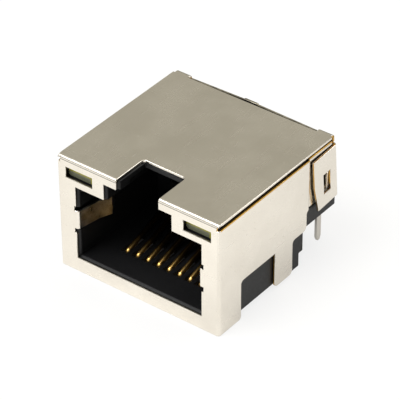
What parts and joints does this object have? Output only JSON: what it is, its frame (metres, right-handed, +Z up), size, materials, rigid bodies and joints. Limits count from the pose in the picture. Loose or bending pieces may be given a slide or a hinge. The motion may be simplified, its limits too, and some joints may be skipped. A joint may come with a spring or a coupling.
{
  "type": "board jack",
  "caption": "Low shielded modular jack that sinks into a board cut-out: folded metal shell, black housing, gold spring contacts, lamps beside the latch slot.",
  "frame": {"origin": "centre of the board seat, the underside of the rear block, where it meets the board's top surface", "axes": "+Z up away from the board, -Y towards the plug opening, +X to the right seen from the plug side"},
  "size_m": [0.0156, 0.0153, 0.0103],
  "materials": {
    "nickel": "nickel-plated sheet, satin bright",
    "housing_black": "glass-filled moulding, fine matt grain",
    "carrier_black": "glass-filled moulding, fine matt grain",
    "gold": "gold-plated spring wire",
    "lamp_clear": "smoky clear resin with a green cast",
    "tinned": "tin-plated lead, soft shine"
  },
  "bodies": {
    "root": {"shell": "nickel", "housing": "housing_black", "contact_carrier": "carrier_black", "contact_1": "gold", "contact_2": "gold", "contact_3": "gold", "contact_4": "gold", "contact_5": "gold", "contact_6": "gold", "contact_7": "gold", "contact_8": "gold", "lamp_left": "lamp_clear", "lamp_left_lead_inner": "tinned", "lamp_left_lead_outer": "tinned", "lamp_right": "lamp_clear", "lamp_right_lead_inner": "tinned", "lamp_right_lead_outer": "tinned"}
  },
  "joints": []
}
